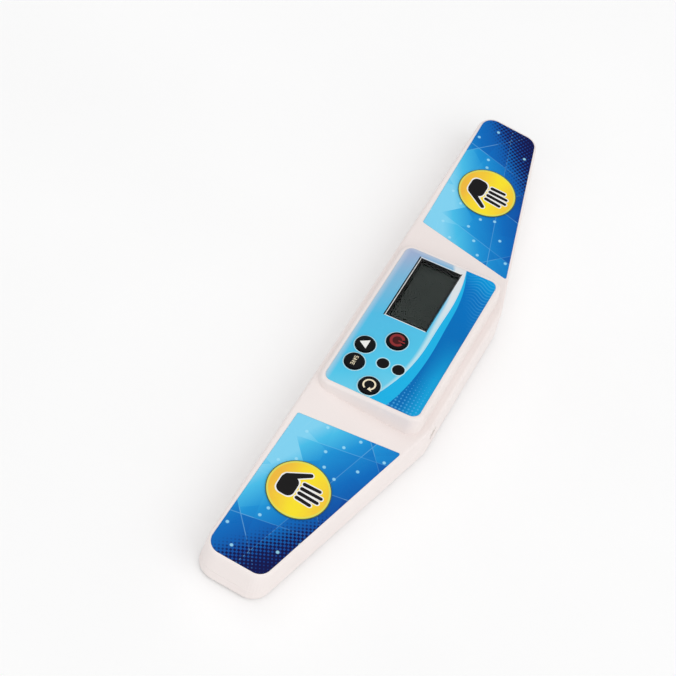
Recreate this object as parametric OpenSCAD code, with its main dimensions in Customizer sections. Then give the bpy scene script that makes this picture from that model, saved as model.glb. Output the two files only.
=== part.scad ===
// Speed cube timer: a long two-armed housing with touch pads on its arms and a tilted console.
// Millimetres. X runs to the user's right, Y away from the user, Z up.
// The origin is on the table, under the middle of the body.

/* [Body] */
// Length over both arms, at the base
body_length = 280; // [272:1:288]
// Depth from the near side to the far side, at the base
body_depth = 58; // [57:0.5:60]
// Height of the arms' top above the table
deck_height = 19.5; // [19:0.25:21]
// Height of the joint line between the two shells
parting_height = 7; // [6.5:0.25:8]
// Straight length of the far side between the two sloping arms, at the base
middle_length = 74; // [72:1:80]
// Depth of the body at its ends, at the base
end_depth = 30.7; // [29:0.5:32]
// How far each outer wall leans in from the base to the deck
draft = 1.1; // [0.6:0.1:1.5]
// Radius of the body's corners seen from above, at the base
corner_radius = 9; // [8:0.5:11]
// Rounding of the deck's edge
deck_edge = 1.4; // [1:0.1:1.6]
// Rounding of the base edge
base_edge = 0.9; // [0.5:0.1:1.2]
// Thickness of the outer walls and the deck
wall = 2; // [1.8:0.1:2.2]

/* [Console] */
// Length of the printed panel to the right of its window, where the keys are
key_side_length = 43.8; // [43:0.1:44.4]
// Length of the panel to the left of its window
window_margin = 3.2; // [3:0.1:3.5]
// Tilt of the panel towards the user, in degrees
console_tilt = 8.25; // [7:0.25:9]
// Height of the panel's near edge above the deck
console_near_rise = 3.8; // [3.5:0.1:4.5]
// Distance from the body's near side at the base to the panel's near edge
console_near_gap = 5.5; // [5.2:0.1:5.8]
// Distance from the body's far side at the base to the panel's far edge
console_far_gap = 8.36; // [8.1:0.02:8.6]
// Plain rim round the panel
console_rim = 2.2; // [2:0.1:2.4]
// Rounding of the console's top edge
console_edge = 1.4; // [1:0.1:1.6]
// Corner radius of the panel
panel_corner = 3.6; // [3:0.2:4.5]
// Thickness of the console's top
console_roof = 2.2; // [2:0.1:2.4]

/* [Hand pads] */
// Distance from the body's middle to a pad's inner edge, at the near side
pad_inner_near = 61.4; // [60:0.2:64]
// Distance from the body's middle to a pad's inner edge, at the far side
pad_inner_far = 54.7; // [54:0.2:57]
// Gap from the body's base outline to a pad's outer and far edges
pad_margin = 2.5; // [2.3:0.1:3]
// Gap from the body's near side to a pad, at the pad's inner end
pad_near_gap = 4.5; // [4:0.1:5]
// Radius of a pad's two outer corners
pad_corner = 6; // [4:0.5:7]
// Thickness of the printed films
film = 0.4; // [0.3:0.05:0.5]

/* [Keys] */
// Radius of the power key and the reset key
large_key_radius = 4.65; // [4.4:0.05:4.75]
// Radius of the select key and the save key
small_key_radius = 4.35; // [4.1:0.05:4.4]
// Travel of every key
key_travel = 0.6; // [0.4:0.05:0.7]
// How far the keys stand above the panel
key_rise = 0.9; // [0.8:0.1:1.2]
// Gap between a key and its hole
key_gap = 0.3; // [0.25:0.05:0.35]
// Radius of the indicator windows
lens_radius = 2.65; // [2.4:0.05:2.8]

/* [Display] */
// Length of the window in the console
window_length = 37.1; // [36:0.1:37.6]
// Width of the window
window_width = 20.1; // [19:0.1:21]
// Width of the black frame that shows inside the window
bezel_show = 0.9; // [0.6:0.1:1.2]
// Thickness of the display glass
lcd_thickness = 2; // [1.8:0.1:2.2]

/* [Board] */
// Distance from the panel's face down to the top of the circuit board
board_depth = 8.25; // [8:0.05:8.5]
// Thickness of the circuit board
board_thickness = 1.6; // [1.4:0.1:1.6]

/* [Battery bay] */
// Diameter of an AAA cell
cell_diameter = 10.5; // [10.3:0.1:10.5]
// Length of an AAA cell, with its cap
cell_length = 44.5; // [44:0.1:44.5]
// Room for the contacts, added to the length of a cell
contact_room = 6.5; // [6:0.1:7]
// Middle of the bay along the body
bay_x = -6; // [-7:0.5:-5]
// Middle of the bay across the body
bay_y = 8; // [7.5:0.1:8.3]
// Thickness of the door's plate
door_thickness = 1.6; // [1.4:0.1:1.6]

/* [Data jack] */
// Radius of the hole that takes the plug
jack_bore_radius = 1.8; // [1.7:0.05:1.9]
// Depth of the hole that takes the plug
jack_bore_depth = 13; // [12:0.5:13]
// Distance of the jack from the body's middle
jack_x = 32.5; // [32.2:0.1:32.8]
// Height of the jack's axis above the table
jack_z = 11.8; // [11.5:0.1:12]

/* [Fasteners and feet] */
// Radius of the case screws' shafts
case_screw_radius = 1.25; // [1.1:0.05:1.35]
// Radius of the board screws' shafts
board_screw_radius = 0.95; // [0.85:0.05:1]
// Radius of the rubber feet
foot_radius = 4.5; // [4:0.1:4.8]
// How far the feet lift the body off the table
foot_gap = 0.8; // [0.6:0.1:1]

/* [Hidden] */
$fn = 48;

// Thin slice that a hull is stretched over
slice = 0.02;
// Amount by which a cutter passes the face it opens
past = 1;
// Fit gap between fixed neighbours
fit = 0.1;
// Gap of a part that slides or swings
running = 0.05;

// ---- Body outline at the base, anticlockwise from the near left corner ----
half_length = body_length / 2;
near_y = -body_depth / 2;
far_y = body_depth / 2;
half_middle = middle_length / 2;
end_y = near_y + end_depth;
base_outline = [
    [-half_length, near_y], [half_length, near_y],
    [half_length, end_y], [half_middle, far_y],
    [-half_middle, far_y], [-half_length, end_y]
];
base_radii = [for (point = base_outline) corner_radius];
wall_height = deck_height - foot_gap;
arm_slope = (far_y - end_y) / (half_length - half_middle);
arm_stretch = sqrt(1 + arm_slope * arm_slope);

// ---- Levels ----
floor_top = foot_gap + wall;
deck_under = deck_height - wall;
console_near_y = near_y + console_near_gap;
console_near_z = deck_height + console_near_rise;

// ---- Hand pad outline, for the right arm ----
pad_outer_x = half_length - pad_margin;
function arm_far_y(x, inward) = far_y - (x - half_middle) * arm_slope - inward * arm_stretch;
pad_outline = [
    [pad_inner_near, near_y + pad_near_gap],
    [pad_outer_x, near_y + pad_margin],
    [pad_outer_x, arm_far_y(pad_outer_x, pad_margin)],
    [pad_inner_far, arm_far_y(pad_inner_far, pad_margin)]
];
pad_radii = [0.8, pad_corner, pad_corner, 0.8];

// ---- Console panel, in the panel's own plane: x along it, y up its slope ----
panel_length = window_margin + window_length + key_side_length;
panel_width = (body_depth - console_near_gap - console_far_gap) / cos(console_tilt);
panel_half = panel_length / 2;
console_half = panel_half + console_rim;
foot_spread = 1.1;
console_foot_near = near_y + draft + 1.5;
console_foot_far = console_near_y + (panel_width + console_rim) * cos(console_tilt) + 1.3;

// Places on the panel: [x, y]
large_key_y = 0.435 * panel_width;
small_key_y = 0.18 * panel_width;
power_place = [panel_half - 32.75, large_key_y];
select_place = [panel_half - 24.45, small_key_y];
save_place = [panel_half - 13.95, small_key_y];
reset_place = [panel_half - 5.45, large_key_y];
lens_spacing = 7.4;
near_lens_place = [panel_half - 19.15, large_key_y - 0.2];
lens_places = [near_lens_place, near_lens_place + [0, lens_spacing]];
window_place = [window_margin + window_length / 2 - panel_half, 0.4 * panel_width];
large_keys = [power_place, reset_place];
small_keys = [select_place, save_place];

// ---- Key stack, as depths below the panel's face ----
flange_top = console_roof + running;
flange_thickness = 1;
flange_bottom = flange_top + flange_thickness;
flange_lip = 0.7;
switch_height = 3.5;
switch_side = 6;
plunger_radius = 1.7;
plunger_length = 3.3;
plunger_bottom = flange_bottom + plunger_length;
switch_hole_depth = plunger_bottom + key_travel + 0.3;

// ---- Display stack, as depths below the panel's face ----
window_flange = 0.6;
bezel_top = console_roof + window_flange;
bezel_front = 0.6;
lcd_top = bezel_top + bezel_front;
lcd_bottom = lcd_top + lcd_thickness;
lcd_length = window_length + 1.8;
lcd_width = window_width + 5.9;
bezel_wall = 1.3;
strip_width = 2.2;

// ---- Board ----
board_half = panel_half - 1.45;
board_near = 1.2;
board_far = panel_width - 2.6;
far_hole = [board_half - 3.6, board_far - 2.6];
board_holes = [
    [-far_hole[0], far_hole[1]], far_hole,
    [panel_half - 35.65, board_near + 3.8], [panel_half - 4.45, board_near + 5]
];
board_boss_radius = 2.5;
board_bottom = board_depth + board_thickness;
// Height of the board's underside at a place across the body
function board_under_z(y) = console_near_z + (y - console_near_y) * tan(console_tilt)
    - board_bottom / cos(console_tilt);

// ---- Battery bay ----
cell_radius = cell_diameter / 2;
cell_spacing = cell_diameter + 0.3;
cell_axis_z = floor_top + 0.15 + cell_radius;
cell_rows = [bay_y - cell_spacing / 2, bay_y + cell_spacing / 2];
bay_length = cell_length + contact_room;
bay_width = 2 * cell_diameter + 1.2;
bay_x0 = bay_x - bay_length / 2;
bay_x1 = bay_x + bay_length / 2;
bay_wall = 1.2;
bay_top = cell_axis_z + cell_radius + 0.3;
door_ledge = 0.8;
door_gap = 0.25;
latch_bay_length = 6;
latch_bay_width = 14;
latch_bay_top = 9;
latch_x0 = bay_x1 + bay_wall;
latch_x1 = latch_x0 + latch_bay_length;
opening_x0 = bay_x0 - door_ledge;
opening_x1 = latch_x1 + door_ledge;
opening_width = bay_width + 2 * door_ledge;
door_top = foot_gap + door_thickness;
door_seat = door_top + running;
// The door turns about the lower edge of its opening, at the hooks
hinge_x = opening_x0;
hinge_z = foot_gap;
hook_offset = 6;
hook_width = 4;
hook_reach = 1.5;
hook_low = floor_top + fit;
hook_high = hook_low + 1.2;
hook_slot_top = 5.3;

// ---- Data jack ----
function wall_y(z) = far_y - draft * (z - foot_gap) / wall_height;
jack_width = 8;
jack_height = 8;
jack_body_depth = 12;
jack_nose_radius = 2.9;
jack_low = jack_z - jack_height / 2;
jack_high = jack_z + jack_height / 2;
jack_face_y = wall_y(jack_high) - wall - fit;
jack_nose_y = wall_y(jack_z) - 0.2;

// ---- Fasteners and feet ----
case_screw_places = [
    [half_length - 9, near_y + 16], [52, near_y + 7], [49.5, far_y - 10],
    [9 - half_length, near_y + 16], [-52, near_y + 7], [-49.5, far_y - 10]
];
pillar_top = 9.5;
pillar_radius = 3.7;
boss_radius = 3.1;
head_radius = 2.5;
head_height = 1.8;
head_seat = 6;
screw_length = 9;
end_foot = [half_length - 22, near_y + 9];
far_foot = [half_middle + 3, far_y - 7.5];
feet_places = [end_foot, [-end_foot[0], end_foot[1]], far_foot, [-far_foot[0], far_foot[1]]];
foot_recess = 0.8;

// ---- Touch plates and leads ----
plate_thickness = 0.3;
plate_bottom = deck_under - plate_thickness;
lead_radius = 0.6;
touch_lead_y = -5;
// Cross ribs under each arm's deck; the inner one is notched for the lead
rib_thickness = 1.2;
rib_drop = 4;
inner_rib_x = pad_inner_near + 3;
outer_rib_x = half_length - 13.5;
// Slack under the sloping board where an upright lead is soldered to it
solder_gap = 0.12;

// ======== Geometry helpers ========

function unit(v) = v / norm(v);
function left_of(v) = [-v[1], v[0]];
function edge_in(points, i) = unit(points[i] - points[(i + len(points) - 1) % len(points)]);
function edge_out(points, i) = unit(points[(i + 1) % len(points)] - points[i]);
// Centre of the arc that rounds corner i of a convex anticlockwise outline
function arc_centre(points, i, r) =
    let (a = left_of(edge_in(points, i)), b = left_of(edge_out(points, i)))
    points[i] + r * (a + b) / (1 + a * b);

// Convex outline with round corners
module rounded_outline(points, radii) {
    corners = [for (i = [0 : len(points) - 1]) i];
    centres = [for (i = corners) arc_centre(points, i, radii[i])];
    polygon([
        for (i = corners)
            each [
                centres[i] - radii[i] * left_of(edge_in(points, i)),
                centres[i] - radii[i] * left_of(edge_out(points, i))
            ]
    ]);
    // the arcs stay a hair inside the corners, so that they cross the straight sides cleanly
    for (i = corners)
        translate(centres[i])
            circle(r = radii[i] - 0.01);
}

// Corner posts of a slice through an outline drawn in by some distance
module outline_slice(points, radii, inward, z) {
    for (i = [0 : len(points) - 1])
        translate([arc_centre(points, i, radii[i])[0], arc_centre(points, i, radii[i])[1], z])
            cylinder(r = radii[i] - inward, h = slice, $fn = 40);
}

// How far the outer wall has leaned in at a height
function lean(z) = draft * (z - foot_gap) / wall_height;

// Body between two heights, with its top edge rounded
module rounded_top_body(z0, z1, edge) {
    hull() {
        outline_slice(base_outline, base_radii, lean(z0), z0);
        for (angle = [0 : 22.5 : 90])
            outline_slice(base_outline, base_radii, lean(z1) + edge * (1 - cos(angle)),
                z1 - edge + edge * sin(angle) - slice);
    }
}

// Hollow of the body between two heights, one wall inside
module body_hollow(z0, z1) {
    hull() {
        outline_slice(base_outline, base_radii, lean(z0) + wall, z0);
        outline_slice(base_outline, base_radii, lean(z1) + wall, z1 - slice);
    }
}

// Stands its children on the panel's plane, some depth below the panel's face
module on_console(depth = 0) {
    translate([0, console_near_y, console_near_z])
        rotate([console_tilt, 0, 0])
            translate([0, 0, -depth])
                children();
}

function rectangle(x0, y0, x1, y1) = [[x0, y0], [x1, y0], [x1, y1], [x0, y1]];
function panel_rectangle(grow) =
    rectangle(-panel_half - grow, -grow, panel_half + grow, panel_width + grow);
function four(r) = [r, r, r, r];

// Block centred on a place, standing from z0 to z1
module block(place, length, width, z0, z1) {
    translate([place[0] - length / 2, place[1] - width / 2, z0])
        cube([length, width, z1 - z0]);
}

// Round bar between two heights at a place
module post(place, r, z0, z1) {
    translate([place[0], place[1], z0])
        cylinder(r = r, h = z1 - z0);
}

// Round wire along a list of points
module wire(points, r) {
    for (i = [0 : len(points) - 2]) {
        run = points[i + 1] - points[i];
        translate(points[i])
            rotate([0, acos(run[2] / norm(run)), atan2(run[1], run[0])])
                cylinder(r = r, h = norm(run), $fn = 24);
    }
    // round knuckles, a little fatter than the wire, close its bends
    for (i = [1 : 1 : len(points) - 2])
        translate(points[i])
            sphere(r = 1.12 * r, $fn = 24);
}

module mirrored_pair() {
    children();
    mirror([1, 0, 0])
        children();
}

// ======== Housing ========

// Raised block under the panel, drawn in by a wall where it is the hollow
module console_block() {
    outline = panel_rectangle(console_rim);
    radii = four(panel_corner + console_rim);
    foot = rectangle(-console_half - foot_spread, console_foot_near,
        console_half + foot_spread, console_foot_far);
    hull() {
        for (angle = [0 : 30 : 90])
            on_console(console_edge * (1 - sin(angle)))
                outline_slice(outline, radii, console_edge * (1 - cos(angle)), -slice);
        outline_slice(foot, four(panel_corner + console_rim + 1), 0, deck_under + 0.5);
    }
}

module console_hollow() {
    outline = panel_rectangle(console_rim - wall);
    foot = rectangle(-console_half - foot_spread + wall, console_foot_near + wall,
        console_half + foot_spread - wall, console_foot_far - wall);
    hull() {
        on_console(console_roof)
            outline_slice(outline, four(panel_corner), 0, -slice);
        outline_slice(foot, four(panel_corner + 1), 0, deck_under - 0.5);
    }
}

// Cut-outs in the console's top: window, keys and indicator windows
module console_openings() {
    on_console() {
        translate([0, 0, -film])
            linear_extrude(film + past)
                rounded_outline(panel_rectangle(fit), four(panel_corner + fit));
        block(window_place, window_length, window_width, -console_roof - past, 0);
        for (place = large_keys)
            post(place, large_key_radius + key_gap, -console_roof - past, 0);
        for (place = small_keys)
            post(place, small_key_radius + key_gap, -console_roof - past, 0);
        for (place = lens_places)
            post(place, lens_radius + fit, -console_roof - past, 0);
    }
}

module pad_recess() {
    translate([0, 0, deck_height - film])
        linear_extrude(film + past)
            offset_pad(fit);
}

// Pad outline grown by a little all round
module offset_pad(grow) {
    grown = [
        pad_outline[0] + [-grow, -grow], pad_outline[1] + [grow, -grow],
        pad_outline[2] + [grow, grow], pad_outline[3] + [-grow, grow]
    ];
    rounded_outline(grown, pad_radii);
}

// Posts under the console's top that carry the circuit board
module board_bosses() {
    on_console()
        for (place = board_holes)
            post(place, board_boss_radius, -board_depth, -console_roof + 0.5);
}

// Cross rib under the deck of one arm
module arm_rib(x) {
    y0 = near_y + wall + 1.5;
    y1 = arm_far_y(x + rib_thickness, wall + 1.5);
    translate([x - rib_thickness / 2, y0, deck_under - rib_drop])
        cube([rib_thickness, y1 - y0, rib_drop + 0.5]);
}

module upper_shell() {
    color([0.93, 0.9, 0.88]) {
        difference() {
            union() {
                difference() {
                    union() {
                        rounded_top_body(parting_height, deck_height, deck_edge);
                        console_block();
                    }
                    body_hollow(parting_height - past, deck_under);
                    console_hollow();
                }
                for (place = case_screw_places)
                    post(place, boss_radius, pillar_top, deck_under + 0.5);
                mirrored_pair() {
                    arm_rib(inner_rib_x);
                    arm_rib(outer_rib_x);
                }
                // rib that holds the jack down
                translate([jack_x - jack_width / 2, jack_face_y - 2.9, jack_high])
                    cube([jack_width, 1.6, deck_under - jack_high + 0.5]);
                board_bosses();
            }
            console_openings();
            mirrored_pair() {
                pad_recess();
                // notch that lets the touch lead through the rib
                block([inner_rib_x, touch_lead_y], rib_thickness + 1, 4 * lead_radius,
                    deck_under - rib_drop - past, deck_under - 1);
            }
            for (place = case_screw_places)
                post(place, case_screw_radius + running / 2, pillar_top - past,
                    head_seat + screw_length + 0.5);
            on_console()
                for (place = board_holes)
                    post(place, board_screw_radius + running / 2, -board_depth - past,
                        -console_roof - 0.6);
            translate([jack_x, far_y - wall - 3, jack_z])
                rotate([-90, 0, 0])
                    cylinder(r = jack_nose_radius + fit, h = wall + 4);
        }
    }
}

// Lower tray before its openings are cut: floor, walls, lip, battery bay, pillars and ribs
module tray_solid() {
    difference() {
        hull() {
            for (angle = [0 : 30 : 90])
                outline_slice(base_outline, base_radii, base_edge * (1 - sin(angle)),
                    foot_gap + base_edge * (1 - cos(angle)));
            outline_slice(base_outline, base_radii, lean(parting_height - 0.3),
                parting_height - 0.3 - slice);
            outline_slice(base_outline, base_radii, lean(parting_height) + 0.3,
                parting_height - slice);
        }
        body_hollow(floor_top, parting_height + past);
    }
    lip_inward = lean(parting_height) + wall + fit;
    translate([0, 0, parting_height - 1.5])
        linear_extrude(2.8)
            difference() {
                rounded_outline(inward_outline(lip_inward), inward_radii(lip_inward));
                rounded_outline(inward_outline(lip_inward + 1), inward_radii(lip_inward + 1));
            }
    for (place = case_screw_places)
        post(place, pillar_radius, floor_top - 0.5, pillar_top);
    translate([bay_x0 - bay_wall, bay_y - bay_width / 2 - bay_wall, door_seat])
        cube([bay_length + 2 * bay_wall, bay_width + 2 * bay_wall, bay_top + bay_wall - door_seat]);
    translate([bay_x1, bay_y - latch_bay_width / 2 - bay_wall, door_seat])
        cube([latch_bay_length + 2 * bay_wall, latch_bay_width + 2 * bay_wall,
            latch_bay_top + bay_wall - door_seat]);
    translate([jack_x - jack_width / 2 + 1, jack_face_y - jack_body_depth, floor_top - 0.5])
        cube([jack_width - 2, jack_body_depth - 2, jack_low - floor_top + 0.5]);
    mirrored_pair() {
        translate([66, -13.6, floor_top - 0.5])
            cube([half_length - 66 - 15, 1.2, 2.5]);
        for (x = [78, 102])
            translate([x, near_y + wall + 2, floor_top - 0.5])
                cube([1.2, arm_far_y(x + 1.2, wall + 2) - near_y - wall - 2, 2.5]);
    }
}

// Base outline drawn in, with corner radii to match
function inward_outline(d) = [
    for (i = [0 : len(base_outline) - 1])
        let (a = left_of(edge_in(base_outline, i)), b = left_of(edge_out(base_outline, i)))
        base_outline[i] + d * (a + b) / (1 + a * b)
];
function inward_radii(d) = [for (r = base_radii) r - d];

module lower_shell() {
    color([0.92, 0.89, 0.87]) {
        difference() {
            tray_solid();
            // door opening through the floor
            translate([opening_x0, bay_y - opening_width / 2, 0])
                cube([opening_x1 - opening_x0, opening_width, door_seat]);
            // room for the cells
            translate([bay_x0, bay_y - bay_width / 2, 0])
                cube([bay_length, bay_width, bay_top]);
            // room for the latch
            translate([latch_x0, bay_y - latch_bay_width / 2, 0])
                cube([latch_bay_length, latch_bay_width, latch_bay_top]);
            // slots for the door's hooks, deeper where a hook's root stands in the opening
            for (side = [-1, 1]) {
                block([bay_x0 - 2, bay_y + side * hook_offset], 6, hook_width + 0.6,
                    floor_top, hook_slot_top);
                block([opening_x0 + 1, bay_y + side * hook_offset], 2, hook_width + 0.6,
                    foot_gap, hook_slot_top);
            }
            // slots for the end contacts' tails
            for (row = cell_rows)
                block([bay_x1 - 0.3, row], 1.6, 4.4, bay_top - past, bay_top + bay_wall + past);
            for (place = case_screw_places) {
                post(place, head_radius + 0.4, -past, head_seat);
                post(place, case_screw_radius + 0.25, head_seat - past, pillar_top + past);
            }
            for (place = feet_places)
                post(place, foot_radius + fit, -past, foot_gap + foot_recess);
            // notch in the lip, behind which the jack sits
            block([jack_x, jack_face_y - 0.8], jack_width + 0.6, 2.4, jack_low, pillar_top);
        }
    }
}

module console_overlay() {
    color([0.25, 0.72, 0.9])
        on_console()
            difference() {
                translate([0, 0, -film])
                    linear_extrude(film)
                        rounded_outline(panel_rectangle(0), four(panel_corner));
                block(window_place, window_length, window_width, -past, past);
                for (place = large_keys)
                    post(place, large_key_radius + key_gap, -past, past);
                for (place = small_keys)
                    post(place, small_key_radius + key_gap, -past, past);
                for (place = lens_places)
                    post(place, lens_radius + fit, -past, past);
            }
}

module pad_film() {
    translate([0, 0, deck_height - film])
        linear_extrude(film)
            offset_pad(0);
}

module right_pad_overlay() {
    color([0.1, 0.35, 0.7])
        pad_film();
}

module left_pad_overlay() {
    color([0.1, 0.35, 0.7])
        mirror([1, 0, 0])
            pad_film();
}

// ======== Display ========

module display_window() {
    color([0.75, 0.8, 0.8, 0.4])
        on_console() {
            block(window_place, window_length - 2 * fit, window_width - 2 * fit,
                -console_roof, -0.15);
            block(window_place, window_length + 2.4, window_width + 2.4,
                -bezel_top, -console_roof);
        }
}

module lcd_bezel() {
    outer_length = lcd_length + 2 * fit + 2 * bezel_wall;
    outer_width = lcd_width + 2 * fit + 2 * bezel_wall;
    color([0.05, 0.05, 0.06])
        on_console()
            difference() {
                block(window_place, outer_length, outer_width, -board_depth, -bezel_top);
                block(window_place, lcd_length + 2 * fit, lcd_width + 2 * fit,
                    -board_depth - past, -lcd_top);
                block(window_place, window_length - 2 * bezel_show,
                    window_width - 2 * bezel_show, -board_depth, -bezel_top + past);
            }
}

module lcd_glass() {
    color([0.2, 0.22, 0.2])
        on_console()
            block(window_place, lcd_length, lcd_width, -lcd_bottom, -lcd_top);
}

module lcd_contact_strips() {
    color([0.15, 0.15, 0.15])
        on_console()
            for (side = [-1, 1])
                block(window_place + [0, side * (lcd_width / 2 - strip_width / 2)],
                    lcd_length - 1, strip_width, -board_depth, -lcd_bottom);
}

// ======== Keys ========

// Key cap with a rounded, slightly dished top, a flange under the console and a stem
module key(place, r) {
    edge = 0.45;
    on_console()
        translate([place[0], place[1], 0]) {
            difference() {
                rotate_extrude() {
                    translate([0, -flange_bottom])
                        square([r - edge, flange_bottom + key_rise]);
                    translate([0, -flange_bottom])
                        square([r, flange_bottom + key_rise - edge]);
                    translate([r - edge, key_rise - edge])
                        circle(r = edge);
                }
                translate([0, 0, key_rise + 44.8])
                    sphere(r = 45, $fn = 96);
            }
            translate([0, 0, -flange_bottom])
                cylinder(r = r + flange_lip, h = flange_thickness);
        }
}

module power_key() {
    color([0.06, 0.06, 0.07])
        key(power_place, large_key_radius);
}

module select_key() {
    color([0.06, 0.06, 0.07])
        key(select_place, small_key_radius);
}

module save_key() {
    color([0.06, 0.06, 0.07])
        key(save_place, small_key_radius);
}

module reset_key() {
    color([0.06, 0.06, 0.07])
        key(reset_place, large_key_radius);
}

module plunger(place) {
    color([0.85, 0.85, 0.8])
        on_console()
            post(place, plunger_radius, -plunger_bottom, -flange_bottom);
}

module power_plunger() {
    plunger(power_place);
}

module select_plunger() {
    plunger(select_place);
}

module save_plunger() {
    plunger(save_place);
}

module reset_plunger() {
    plunger(reset_place);
}

module switch_bodies() {
    switch_top = switch_height - board_depth;
    color([0.2, 0.2, 0.2])
        on_console()
            for (place = concat(large_keys, small_keys))
                difference() {
                    union() {
                        block(place, switch_side, switch_side, -board_depth, switch_top);
                        for (side = [-1, 1])
                            block(place + [0, side * 2.2], switch_side + 2, 0.8,
                                -board_depth, -board_depth + 0.3);
                    }
                    post(place, plunger_radius + running, -switch_hole_depth, switch_top + past);
                }
}

module indicator_lenses() {
    color([0.04, 0.04, 0.05])
        on_console()
            for (place = lens_places) {
                post(place, lens_radius, -console_roof, 0);
                post(place, lens_radius + 0.6, -console_roof - 0.6, -console_roof);
            }
}

module status_leds() {
    led_radius = 1.5;
    dome_base = -console_roof - 0.8 - led_radius;
    color([0.8, 0.15, 0.12])
        on_console()
            for (place = lens_places) {
                post(place, led_radius + 0.4, -board_depth, -board_depth + 1);
                post(place, led_radius, -board_depth, dome_base);
                translate([place[0], place[1], dome_base])
                    sphere(r = led_radius);
            }
}

// ======== Circuit board ========

module main_board() {
    color([0.1, 0.4, 0.2])
        on_console(board_bottom)
            difference() {
                linear_extrude(board_thickness)
                    rounded_outline(rectangle(-board_half, board_near, board_half, board_far),
                        four(1.5));
                for (place = board_holes)
                    post(place, board_screw_radius + 0.2, -past, board_thickness + past);
            }
}

module controller_chip() {
    dome = 11;
    color([0.05, 0.05, 0.05])
        on_console(board_depth)
            translate([panel_half - 32, board_far - 8, 0])
                intersection() {
                    translate([0, 0, 1.8 - dome])
                        sphere(r = dome, $fn = 64);
                    cylinder(r = 7, h = 3);
                }
}

module board_components() {
    on_console(board_depth) {
        // crystal can, lying down
        color([0.75, 0.75, 0.78])
            translate([panel_half - 22, board_far - 5.5, 1.1])
                rotate([0, 90, 0])
                    cylinder(r = 1.1, h = 6);
        // electrolytic capacitor
        color([0.1, 0.12, 0.3])
            post([panel_half - 12, board_far - 7.5], 2.4, 0, 4.9);
        // small resistors and capacitors
        color([0.2, 0.2, 0.22])
            for (i = [0 : 4])
                block([-12 + i * 3.2, board_far - 4.5], 1.6, 0.9, 0, 0.5);
    }
}

module board_screws() {
    color([0.7, 0.7, 0.72])
        on_console(board_bottom)
            for (place = board_holes) {
                post(place, board_screw_radius, 0, board_thickness + 4.8);
                difference() {
                    post(place, 1.9, -1.2, 0);
                    block(place, 2.2, 0.5, -1.3, -0.7);
                    block(place, 0.5, 2.2, -1.3, -0.7);
                }
            }
}

// ======== Touch sensing ========

plate_inner_x = pad_inner_near + 6.6;
plate_outer_x = half_length - 17;
touch_plate_outline = [
    [plate_inner_x, near_y + 9], [plate_outer_x, near_y + 8],
    [plate_outer_x, arm_far_y(plate_outer_x, 7)], [plate_inner_x, arm_far_y(plate_inner_x, 7)]
];

module touch_plate() {
    translate([0, 0, plate_bottom])
        linear_extrude(plate_thickness)
            rounded_outline(touch_plate_outline, four(3));
}

module right_touch_plate() {
    color([0.8, 0.8, 0.82])
        touch_plate();
}

module left_touch_plate() {
    color([0.8, 0.8, 0.82])
        mirror([1, 0, 0])
            touch_plate();
}

// Lead from a plate, under the console's wall and up to the board, with its solder joint
solder_x = plate_inner_x + 3;
lead_end_x = board_half - 2.6;
touch_lead_points = [
    [solder_x, touch_lead_y, plate_bottom - 0.9],
    [pad_inner_near - 1.4, touch_lead_y, plate_bottom - 2.6],
    [console_half + 1.7, touch_lead_y, plate_bottom - 4],
    [lead_end_x, touch_lead_y, plate_bottom - 3.6],
    [lead_end_x, touch_lead_y, board_under_z(touch_lead_y) - solder_gap]
];

module touch_lead() {
    wire(touch_lead_points, lead_radius);
    post([solder_x, touch_lead_y], 1.1, plate_bottom - 1.4, plate_bottom);
}

module right_touch_lead() {
    color([0.8, 0.1, 0.1])
        touch_lead();
}

module left_touch_lead() {
    color([0.8, 0.1, 0.1])
        mirror([1, 0, 0])
            touch_lead();
}

// ======== Batteries ========

// Each cell points the other way: its cap end first
module battery_cells() {
    nub = 0.9;
    for (i = [0, 1])
        translate([bay_x, cell_rows[i], cell_axis_z])
            rotate([0, i == 0 ? 90 : -90, 0])
                translate([0, 0, -cell_length / 2]) {
                    color([0.12, 0.12, 0.14])
                        cylinder(r = cell_radius, h = cell_length - nub);
                    color([0.8, 0.8, 0.8])
                        cylinder(r = 1.9, h = cell_length);
                }
}

plate_gap = 0.1;
contact_sheet = 0.4;
contact_low = 5.6;
contact_high = bay_top - 0.8;

// Flat contact plate for one cell, against an end wall of the bay
module contact_plate(x, row) {
    block([x, row], contact_sheet, 8, contact_low, contact_high);
}

// Spring from a plate to the flat end of a cell: rings of wire that shrink towards the cell
module contact_spring(x, row, way, reach) {
    turns = 3;
    wire_radius = 0.3;
    for (i = [0 : turns - 1])
        translate([x + way * (contact_sheet / 2 + reach * (i + 0.5) / turns), row, cell_axis_z])
            rotate([0, 90, 0])
                rotate_extrude()
                    translate([3 - 0.4 * i, 0])
                        circle(r = wire_radius, $fn = 16);
    // stay that joins the rings to the plate
    translate([way > 0 ? x : x - contact_sheet / 2 - reach + 0.1, row + 2.4, cell_axis_z - 0.2])
        cube([contact_sheet / 2 + reach - 0.1, 0.4, 0.4]);
}

spring_reach = (bay_length - cell_length) / 2 - contact_sheet - plate_gap;

module battery_bridge_contact() {
    x = bay_x0 + plate_gap + contact_sheet / 2;
    color([0.75, 0.75, 0.72]) {
        for (row = cell_rows)
            contact_plate(x, row);
        block([x, bay_y], contact_sheet, cell_spacing, cell_axis_z - 1.5, cell_axis_z + 1.5);
        contact_spring(x, cell_rows[0], 1, spring_reach);
        translate([x, cell_rows[1], cell_axis_z])
            rotate([0, 90, 0])
                cylinder(r = 2, h = contact_sheet / 2 + spring_reach - 0.05);
    }
}

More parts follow.
